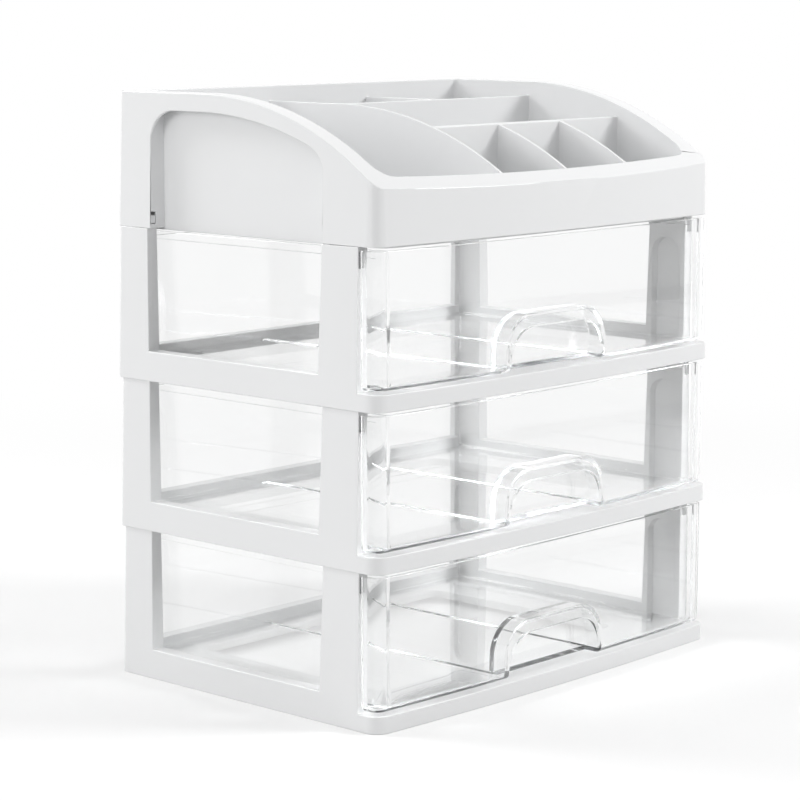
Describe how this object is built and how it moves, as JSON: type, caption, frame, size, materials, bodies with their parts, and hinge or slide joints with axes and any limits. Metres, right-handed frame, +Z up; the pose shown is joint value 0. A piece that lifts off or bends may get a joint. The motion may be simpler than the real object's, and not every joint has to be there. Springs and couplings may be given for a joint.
{
  "type": "desk drawer organizer",
  "caption": "Free-standing desk organizer: stacked white frames with clear sliding drawers, and an open divided tray on top with an arched rim.",
  "frame": {"origin": "centre of the base on the desk", "axes": "+Z up, -Y to the front where the drawers open, +X to the right seen from the front"},
  "size_m": [0.3, 0.211, 0.3415],
  "materials": {
    "white_plastic": "satin moulded polypropylene",
    "clear_plastic": "clear polished polystyrene"
  },
  "bodies": {
    "stack": {"top_tray": "white_plastic", "lower_frame": "white_plastic", "middle_frame": "white_plastic", "upper_frame": "white_plastic"},
    "lower_drawer_body": {"lower_drawer": "clear_plastic"},
    "middle_drawer_body": {"middle_drawer": "clear_plastic"},
    "upper_drawer_body": {"upper_drawer": "clear_plastic"}
  },
  "joints": [
    {"name": "lower_drawer_slide", "type": "slide", "parent": "stack", "child": "lower_drawer_body", "axis": [0, -1, 0], "range_m": [0, 0.15]},
    {"name": "middle_drawer_slide", "type": "slide", "parent": "stack", "child": "middle_drawer_body", "axis": [0, -1, 0], "range_m": [0, 0.15]},
    {"name": "upper_drawer_slide", "type": "slide", "parent": "stack", "child": "upper_drawer_body", "axis": [0, -1, 0], "range_m": [0, 0.15]}
  ]
}
